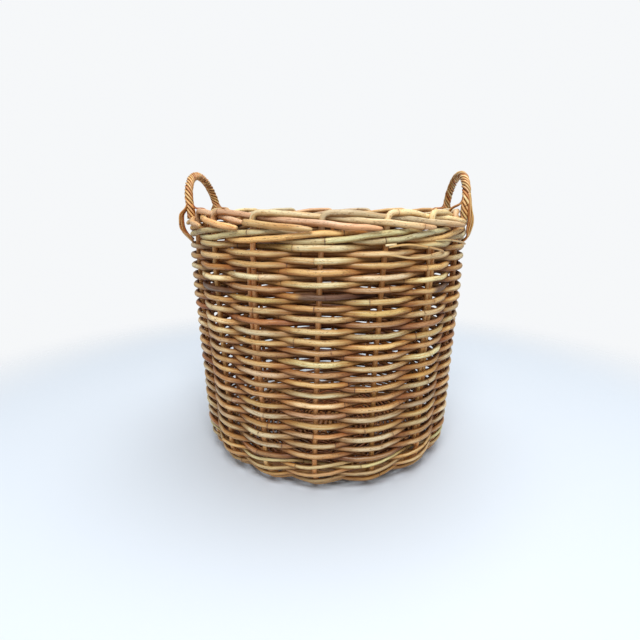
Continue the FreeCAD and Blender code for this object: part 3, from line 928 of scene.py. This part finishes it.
WALE_CYCLE = ((-1, 0), (0, -0.5), (1, -0.5), (1, 0), (1, 0.5), (0, 0.5))  # (out, up) each half stake
WALE_FULLNESS = 1.12  # how much thicker the rods look than in the frame
WALE_PALETTE = [(3, STRAW), (2, PALE_GREEN), (2, GREY_TAN), (1, GOLD)]


def build_wale():
    height = (WALE_BOTTOM + WALE_TOP) / 2
    rise = (WALE_TOP - WALE_BOTTOM) - WALE_DIAMETER
    reach = (STAKE_DIAMETER + WALE_DIAMETER) / 2 + CONTACT
    for rod in range(3):
        rng = seeded(8, rod)
        passed = next(k for k in range(STAKE_COUNT - rod, STAKE_COUNT + 3) if k % 3 == 0)
        points = []
        for half in range(2 * passed + 1):
            out, up = WALE_CYCLE[half % 6]
            nudge = {0: BUTT_GAP, 2 * passed: -BUTT_GAP}.get(half, 0.0)
            place = STAKE_COUNT / 2 + rod + half / 2 + nudge
            level = height + up * rise
            wall = wall_radius(level)
            points.append(at(azimuth_at(place, level), wall + out * reach, level))
        line = strayed(spline(points, STEP), rng, amount=0.0003, wavelength=0.08)
        piece = Piece()
        piece.cane(
            line, WALE_DIAMETER * WALE_FULLNESS, rng, WALE_PALETTE, reference=UP,
            shade=crevice_shade(amount=0.85), internode=(0.14, 0.3), node_change=0.3,
        )
        piece.build("top", f"wale_rod_{rod + 1}", WALE_MATERIAL, "wale_cane")


# The pairing round the foot

FOOT_CYCLE = ((-1, 0), (0, -1), (1, 0), (0, 1))  # (out, up) each half stake
UPRIGHT_ROUNDS = 4  # the rounds on the wall, before the stakes turn in
FOOT_PALETTE = [(3, PALE_GREEN), (2, STRAW), (1.5, GOLD), (1, TAN)]


def foot_frame(along):
    """A point of a stake's centre line, with its outward and upward directions, by the length
    up the stake from the top of its lower bend."""
    if along >= 0:
        angle = LEAN
        radius = BEND_TOP_RADIUS + along * math.sin(LEAN)
        height = BEND_TOP_HEIGHT + along * math.cos(LEAN)
    else:
        angle = LEAN + min(-along / STAKE_BEND_RADIUS, BEND_TURN)
        past = max(-along - BEND_TURN * STAKE_BEND_RADIUS, 0)
        centre_radius = BEND_TOP_RADIUS - STAKE_BEND_RADIUS * math.cos(LEAN)
        centre_height = BEND_TOP_HEIGHT + STAKE_BEND_RADIUS * math.sin(LEAN)
        radius = centre_radius + STAKE_BEND_RADIUS * math.cos(angle) - past
        height = centre_height - STAKE_BEND_RADIUS * math.sin(angle)
    return (radius, height), (math.cos(angle), -math.sin(angle)), (math.sin(angle), math.cos(angle))


def crossing_rise(diameter, reach):
    """How far over and under their middle two canes pass each other between two stakes."""
    least = diameter + 3 * CONTACT
    return least / (2 * math.sqrt(1 - (least / (2 * reach)) ** 2))


def build_foot():
    rise = crossing_rise(FOOT_CANE_DIAMETER, FOOT_REACH)
    pitch = 2 * rise + FOOT_CANE_DIAMETER + 2 * CONTACT
    start = (WEAVE_BOTTOM - BEND_TOP_HEIGHT) / math.cos(LEAN)
    halves = 2 * STAKE_COUNT
    for number in range(FOOT_ROUNDS):
        (radius, height), outward, upward = foot_frame(start - (number + 0.5) * pitch)
        piece = Piece()
        for strand in (0, 1):
            rng = seeded(9, number, strand)
            points = []
            for half in range(halves + 1):
                out, up = FOOT_CYCLE[half % 4]
                nudge = {0: BUTT_GAP, halves: -BUTT_GAP}.get(half, 0.0)
                place = 3 * number + strand + half / 2 + nudge
                reach = radius + out * FOOT_REACH * outward[0] + up * rise * upward[0]
                level = height + out * FOOT_REACH * outward[1] + up * rise * upward[1]
                points.append(at(azimuth_at(place, max(level, 0)), reach, level))
            line = strayed(spline(points, step=0.0042), rng, amount=0.00022, wavelength=0.06)
            line[:, 2] = np.maximum(line[:, 2], FOOT_CANE_DIAMETER / 2 * 0.98)
            piece.cane(
                line, FOOT_CANE_DIAMETER, rng, FOOT_PALETTE, sides=10,
                reference=UP if number < UPRIGHT_ROUNDS else None, shade=crevice_shade(amount=0.8),
                internode=(0.10, 0.22), node_change=0.3, swelling=0.07,
            )
        piece.build("round", f"foot_pairing_{number + 1}", FOOT_MATERIAL, "foot_cane")


# The base

BASE_BANDS = 2
BASE_WEAVE_START = 0.052
BASE_CANE_GAP = 0.0004
BASE_STICK_END = 0.186
STICK_STEP_DOWN = 0.012
STICK_BEND_RADIUS = 0.03
BASE_SHIFT = -math.degrees(math.asin((STAKE_DIAMETER + CONTACT) / TAIL_START))
BASE_STICKS = (  # name, count, height over the lower layer, azimuth
    ("base_sticks_lower", 3, 0.0, 90.0),
    ("base_sticks_upper", 5, STAKE_DIAMETER + CONTACT, 0.0),
)
# The dark colour in the base's palettes is painted shade: the base lies inside the basket.
STICK_PALETTE = [(2, TAN), (2, RED_BROWN), (1, DARK_BASE)]
BASE_PALETTE = [(3, TAN), (2, RED_BROWN), (2, DARK_BASE)]


def base_shade(line, facing):
    """The base lies in the shade of the basket, and is darkest between its canes."""
    return np.clip(0.75 - 0.35 * np.abs(facing[..., 2]), 0, 1)


def build_base_sticks():
    for name, count, lift, middle in BASE_STICKS:
        piece = Piece()
        for index in range(count):
            order = index - (count - 1) / 2
            offset = order * (STAKE_DIAMETER + 2 * CONTACT)
            angle = order * STAKE_STEP
            knee = offset / math.sin(math.radians(angle)) if angle else 0.02
            half = [
                (angle, BASE_STICK_END, BASE_HEIGHT),
                (angle, BASE_WEAVE_START - STICK_STEP_DOWN, BASE_HEIGHT),
                (angle, knee, BASE_HEIGHT + lift),
            ]
            points = [at(a + middle + BASE_SHIFT, r, z) for a, r, z in half]
            points += [at(180 - a + middle + BASE_SHIFT, r, z) for a, r, z in reversed(half)]
            line = rounded(points, [STICK_BEND_RADIUS] * 4, step=0.005)
            rng = seeded(10, count, index)
            piece.cane(line, STAKE_DIAMETER, rng, STICK_PALETTE, uneven=0.02, shade=base_shade)
        piece.build("cross", name, BASE_MATERIAL, "base_cane")


def base_ring(index, radius):
    """One ring of the base weave, which passes over and under the sticks, and the stakes' tails
    with them where it is wide enough to reach these."""
    reach = (STAKE_DIAMETER + BASE_CANE_DIAMETER) / 2 + CONTACT
    over_tails = radius + BASE_CANE_DIAMETER / 2 + CONTACT > TAIL_START
    middle = BASE_SHIFT / 2 if over_tails else BASE_SHIFT
    half_flat = 0.0
    if over_tails:
        half_width = radius * math.sin(math.radians(abs(BASE_SHIFT) / 2)) + 0.002
        half_flat = math.degrees(half_width / radius)
    steps = np.linspace(0, STAKE_COUNT, STAKE_COUNT * 10 + 1)[3:-3]
    nearest = np.round(steps)
    away = np.abs(steps - nearest) * STAKE_STEP
    share = np.clip((away - half_flat) / (STAKE_STEP / 2 - half_flat), 0, 1)
    sign = np.where(nearest.astype(int) % 2 == 1, 1.0, -1.0)
    height = BASE_HEIGHT + sign * reach * np.cos(share * math.pi / 2)
    return at(index * STAKE_STEP + middle + steps * STAKE_STEP, radius, height)


def build_base_weave():
    outer = span("base_weave_", 0)[1] - BASE_CANE_DIAMETER / 2
    count = int((outer - BASE_WEAVE_START) / (BASE_CANE_DIAMETER + BASE_CANE_GAP)) + 1
    pitch = (outer - BASE_WEAVE_START) / (count - 1)
    pieces = [Piece() for _ in range(BASE_BANDS)]
    for index in range(count):
        line = base_ring(index, BASE_WEAVE_START + index * pitch)
        pieces[index * BASE_BANDS // count].cane(
            line, BASE_CANE_DIAMETER, seeded(11, index), BASE_PALETTE, sides=8, reference=UP,
            uneven=0.04, internode=(0.08, 0.16), shade=base_shade,
        )
    for band, piece in enumerate(pieces):
        piece.build("woven", f"base_weave_{band + 1}", BASE_MATERIAL, "base_cane")


# Handles

HANDLE_AZIMUTHS = {"left": -90.0, "right": 90.0}
HANDLE_HALF_SPAN = 18.5
HANDLE_FOOT_RADIUS = 0.262
HANDLE_TIP = HANDLE_TOP - HANDLE_ROPE_DIAMETER / 2  # the top of the centre line
HANDLE_TOP_RADII = {"left": 0.260, "right": 0.254}  # the right one leans in a little
BOW_LIFT = 0.0015  # from the rope's foot to the bow's
ROPE_STRANDS = 6
ROPE_STRAND_DIAMETER = 0.0046
ROPE_TURN_LENGTH = 0.052
ROPE_SINK = 0.017  # how far the rope's legs run down into the border
OUTSIDE_STRANDS = 6
INSIDE_STRANDS = 4
LOW_SPLIT = 0.004  # the height above its foot where a leg opens out
HIGH_SPLIT = 0.021  # the same for the right handle's near leg
HANDLE_PALETTE = [(3, ROPE_GOLD), (2, AMBER), (2, GOLD), (1.5, STRAW)]


def turned(points, azimuth):
    """Points turned about the axis by an azimuth."""
    angle = math.radians(azimuth)
    points = np.asarray(points, float)
    x = points[..., 0] * math.cos(angle) - points[..., 1] * math.sin(angle)
    y = points[..., 0] * math.sin(angle) + points[..., 1] * math.cos(angle)
    return np.stack([x, y, points[..., 2]], -1)


def border_face(place):
    """How far out the border's canes reach at a place given in stakes."""
    steps, layers = zip(*[(0.0, 0.0), *[(run[0], run[1]) for run in BORDER_RUN]])
    behind = place % 1 + np.arange(3)
    layer = np.interp(behind[behind <= steps[-1]], steps, layers).max()
    return HUMP_RING + layer * BORDER_LAYER + STAKE_DIAMETER * (1 + BORDER_SWELL) / 2


def arch_lean(height):
    """How far toward the handle's middle the arch has leaned at a height above its feet."""
    half_width = HANDLE_FOOT_RADIUS * math.sin(math.radians(HANDLE_HALF_SPAN))
    return half_width * (1 - math.cos(math.asin(min(max(height, 0) / (HANDLE_TIP - BORDER_TOP), 1))))


def handle_core(side_name, sink=0.0):
    """A handle's centre line at the front: half an ellipse whose legs may run straight on down."""
    half_span = math.radians(HANDLE_HALF_SPAN)
    half_width = HANDLE_FOOT_RADIUS * math.sin(half_span)
    foot_out = HANDLE_FOOT_RADIUS * math.cos(half_span)
    angle = np.linspace(0, math.pi, 160)
    across = -half_width * np.cos(angle)
    out = foot_out + (HANDLE_TOP_RADII[side_name] - foot_out) * np.sin(angle)
    height = BORDER_TOP + (HANDLE_TIP - BORDER_TOP) * np.sin(angle)
    arch = np.stack([across, -out, height], -1)
    if not sink:
        return arch
    below = np.linspace(sink, 0, 14)[:-1, None] * np.array([[0, 0, 1.0]])
    return np.concatenate([arch[0] - below, arch, (arch[-1] - below)[::-1]])


def twisted(core, reach, phase):
    """A strand that winds round a core line."""
    _, normal, side = directions(core, (0.0, -1.0, 0.0))
    angle = phase - lengths_along(core) * 2 * math.pi / ROPE_TURN_LENGTH
    return core + reach * (np.cos(angle)[:, None] * normal + np.sin(angle)[:, None] * side)


def rope_shade(core):
    """The strands of a rope are darker where they face its core."""

    def shade(line, facing):
        nearest = np.argmin(((line[:, None, :] - core[None, :, :]) ** 2).sum(-1), axis=1)
        away = line - core[nearest]
        away /= np.linalg.norm(away, axis=1)[:, None] + 1e-9
        outward = (facing * away[:, None, :]).sum(-1)
        return np.clip(1.12 - outward * 1.2, 0, 1)

    return shade


def build_bow(side_name, azimuth, code):
    """The stout cane inside a handle's rope."""
    line = turned(handle_core(side_name), azimuth)
    line[:, 2] += BOW_LIFT
    piece = Piece()
    piece.cane(line, HANDLE_BOW_DIAMETER, seeded(12, code), HANDLE_PALETTE)
    piece.build("core", f"handle_{side_name}_bow", HANDLE_MATERIAL, "handle_cane")


def build_rope(side_name, azimuth, code):
    """The strands twisted round a handle's bow."""
    core = handle_core(side_name, ROPE_SINK)
    shade = rope_shade(turned(core, azimuth))
    reach = (HANDLE_ROPE_DIAMETER - ROPE_STRAND_DIAMETER) / 2
    piece = Piece()
    for strand in range(ROPE_STRANDS):
        rng = seeded(13, code, strand)
        phase = 2 * math.pi * strand / ROPE_STRANDS + rng.uniform(-0.06, 0.06)
        line = turned(twisted(core, reach * rng.uniform(0.95, 1.04), phase), azimuth)
        diameter = ROPE_STRAND_DIAMETER * rng.uniform(0.94, 1.1)
        piece.cane(
            line, diameter, rng, HANDLE_PALETTE,
            sides=8, internode=(0.10, 0.2), shade=shade, tone_shift=0.06,
        )
    piece.build("rope", f"handle_{side_name}_wrapping", HANDLE_MATERIAL, "handle_cane")


def build_bundles(side_name, azimuth, code):
    """The strands at both feet of a handle, outside and inside the border."""
    piece = Piece()
    for end in (-1, 1):
        foot_azimuth = azimuth + end * HANDLE_HALF_SPAN
        split = HIGH_SPLIT if side_name == "right" and end == -1 else LOW_SPLIT
        border = border_face(foot_azimuth / STAKE_STEP)
        for number in range(OUTSIDE_STRANDS + INSIDE_STRANDS):
            rng = seeded(14, code, end + 2, number)
            line = turned(bundle_line(number, end, split, border, rng), foot_azimuth)
            diameter = STRAND_DIAMETER * rng.uniform(0.95, 1.1)
            piece.cane(
                line, diameter, rng, HANDLE_PALETTE,
                sides=8, internode=(0.10, 0.25), swelling=0.04, shade=strand_shade,
            )
    piece.build("bundle", f"handle_{side_name}_lashing", HANDLE_MATERIAL, "handle_cane")


def bundle_line(number, end, split, border, rng):
    """A strand that leaves the rope near its foot and is led down one side of the border, for a
    handle at the front. The first strands go outside, in three layers, the rest inside. A point
    of a route is its distance from the axis, its height over the border's top, how far the strands
    fan out there, and how far all of them stand aside."""
    drop = rng.uniform(-0.004, 0.004)
    face = (STAKE_DIAMETER + STRAND_DIAMETER) / 2 + WEAVER_DIAMETER
    lean = -end * arch_lean(split)
    if number < OUTSIDE_STRANDS:
        layer = number % 3
        order = 1.6 * (number // 3 - 0.5) + 0.5 * (layer - 1)
        tuck = BORDER_TOP - 0.056 + drop
        over = layer * STRAND_DIAMETER * 0.85
        route = [
            (HANDLE_FOOT_RADIUS + 0.0030 + over / 2, split + 0.006, 0.8, lean),
            (HANDLE_FOOT_RADIUS + 0.0060 + over / 2, split / 2, 1.0, lean / 3),
            (border + 0.0012 + over, -0.010, 1.4, 0),
            (border + 0.0024 + over, -0.023, 1.6, 0),
            (border + 0.0008 + over, -0.036, 1.4, 0),
            (wall_radius(tuck) + face + 0.002, tuck + 0.006 - BORDER_TOP, 1.0, 0),
            (wall_radius(tuck) + face - 0.007, tuck - 0.003 - BORDER_TOP, 0.95, 0),
        ]
    else:
        order = number - OUTSIDE_STRANDS - (INSIDE_STRANDS - 1) / 2
        tuck = BORDER_TOP - 0.052 + drop
        inner = HUMP_RING - BORDER_LAYER - (STAKE_DIAMETER + STRAND_DIAMETER) / 2 - 0.0012
        route = [
            (HANDLE_FOOT_RADIUS - 0.0036, split + 0.004, 0.75, lean),
            (HANDLE_FOOT_RADIUS - 0.0075, split / 2, 0.95, lean / 3),
            (inner + 0.0052, -0.0005, 1.2, 0),
            (inner - 0.0003, -0.014, 1.2, 0),
            (inner - 0.0008, -0.032, 1.1, 0),
            (wall_radius(tuck) - face + 0.004, tuck - BORDER_TOP, 1.0, 0),
        ]
    across = order * STRAND_DIAMETER * 1.02
    stray = rng.uniform(-0.001, 0.001)
    points = [((across + stray) * fan + aside, -out, BORDER_TOP + up) for out, up, fan, aside in route]
    return strayed(spline(points, step=0.0028), rng, amount=0.00025, wavelength=0.05, fade=0.01)


def strand_shade(line, facing):
    """A lashing's strands are darker on the side that lies on the basket."""
    outward, _ = outward_parts(line, facing)
    away = np.linalg.norm(line[:, :2], axis=1)[:, None] > HUMP_RING
    return np.clip(0.55 - 0.8 * np.where(away, outward, -outward), 0, 0.8)


# The loose tail of the right handle at the front: (azimuth, height, how far off the weave)
TAIL_ROUTES = (
    (
        (22.8, 0.4235, 0.001), (29.9, 0.4262, 0.003), (34.8, 0.4233, 0.003), (45.8, 0.4130, 0.002),
        (49, 0.4095, -0.004),
    ),
    (
        (21.5, 0.4125, -0.003), (24.9, 0.4105, 0.000), (31, 0.4062, 0.002), (37.5, 0.4075, 0.003),
        (44.5, 0.4125, 0.003),
    ),
    (
        (43, 0.4290, -0.003), (48, 0.4292, 0.001), (55, 0.4262, 0.002), (62, 0.4215, 0.003),
        (68, 0.4170, 0.001),
    ),
    ((21.6, 0.4262, 0.001), (23.4, 0.4270, 0.002), (25.4, 0.4272, 0.001)),
)
TAIL_PALETTE = [(2, STRAW), (1, GOLD)]


def build_tail():
    piece = Piece()
    face = STAKE_DIAMETER / 2 + WEAVER_DIAMETER + STRAND_DIAMETER / 2
    for number, route in enumerate(TAIL_ROUTES):
        points = [at(azimuth, wall_radius(height) + face + off, height) for azimuth, height, off in route]
        piece.cane(
            spline(points, step=0.003), STRAND_DIAMETER * 0.95, seeded(15, number), TAIL_PALETTE,
            sides=8, internode=(0.05, 0.1), shade=strand_shade,
        )
    piece.build("loose", "handle_right_tail", HANDLE_MATERIAL, "handle_cane")


# Studio

FLOOR_COLOUR = rgba(linear(223, 232, 242))
FLOOR_SIZE = 6.0
FLOOR_FADE = (0.75, 1.25)  # the distances from the basket between which the floor fades away
SKY = (0.97, 0.985, 1.0, 1)
BACKDROP = 0.95  # how bright the studio's white looks
AMBIENT = 0.46  # how much light it gives
LIGHTS = (  # name, place, size, power
    ("key_light", (0.1, -1.7, 2.5), 1.2, 49),
    ("top_light", (0.3, 0.3, 2.6), 1.6, 28),
)
LIGHT_AIM = (0, 0, 0.25)
CAMERA_DISTANCE = 0.922
CAMERA_HEIGHT = 0.4835
CAMERA_AZIMUTH = 4.0
CAMERA_TILT = 14.33  # below the horizontal
CAMERA_ASIDE = 0.015  # to the left
CAMERA_LENS = 25.3


def build_camera():
    data = bpy.data.cameras.new("camera")
    data.lens = CAMERA_LENS
    data.clip_start = 0.01
    camera = add_object("camera", data)
    angle = math.radians(CAMERA_AZIMUTH)
    place = Vector(at(CAMERA_AZIMUTH, CAMERA_DISTANCE, CAMERA_HEIGHT))
    place -= Vector((math.cos(angle), math.sin(angle), 0)) * CAMERA_ASIDE
    camera.location = place
    camera.rotation_euler = (math.radians(90 - CAMERA_TILT), 0, angle)
    bpy.context.scene.camera = camera


def build_floor():
    """A pale floor that fades into the white of the studio."""
    mesh = bpy.data.meshes.new("floor")
    corners = [(x * FLOOR_SIZE, y * FLOOR_SIZE, 0) for x, y in ((-1, -1), (1, -1), (1, 1), (-1, 1))]
    mesh.from_pydata(corners, [], [(0, 1, 2, 3)])
    material, n = new_material("floor_paint")
    paint = n.add("ShaderNodeBsdfPrincipled", {"Base Color": FLOOR_COLOUR, "Roughness": 0.6})
    place = n.add("ShaderNodeTexCoord").outputs["Object"]
    away = n.add("ShaderNodeVectorMath", {0: place}, operation="LENGTH").outputs["Value"]
    clear = n.add("ShaderNodeBsdfTransparent")
    layers = {0: n.ramp(away, *FLOOR_FADE), 1: paint.outputs[0], 2: clear.outputs[0]}
    n.add("ShaderNodeOutputMaterial", {"Surface": n.add("ShaderNodeMixShader", layers).outputs[0]})
    mesh.materials.append(material)
    add_object("floor", mesh)


def build_light():
    world = bpy.data.worlds.new("studio")
    bpy.context.scene.world = world
    world.use_nodes = True
    n = Nodes(world.node_tree)
    background = world.node_tree.nodes["Background"].inputs
    seen = n.add("ShaderNodeLightPath").outputs["Is Camera Ray"]
    n.put(background["Color"], SKY)
    n.put(background["Strength"], n.math("MULTIPLY_ADD", seen, BACKDROP - AMBIENT, AMBIENT))
    for name, place, size, power in LIGHTS:
        light = bpy.data.lights.new(name, "AREA")
        light.shape = "SQUARE"
        light.size = size
        light.energy = power
        lamp = add_object(name, light)
        lamp.location = place
        lamp.rotation_euler = (Vector(LIGHT_AIM) - Vector(place)).to_track_quat("-Z", "Y").to_euler()
    bpy.context.scene.view_settings.view_transform = "Standard"


build_weave()
build_stakes()
build_bye_stakes()
build_wale()
build_foot()
build_base_sticks()
build_base_weave()
for code, (side_name, azimuth) in enumerate(HANDLE_AZIMUTHS.items(), 1):
    build_bow(side_name, azimuth, code)
    build_rope(side_name, azimuth, code)
    build_bundles(side_name, azimuth, code)
build_tail()
build_floor()
build_light()
build_camera()
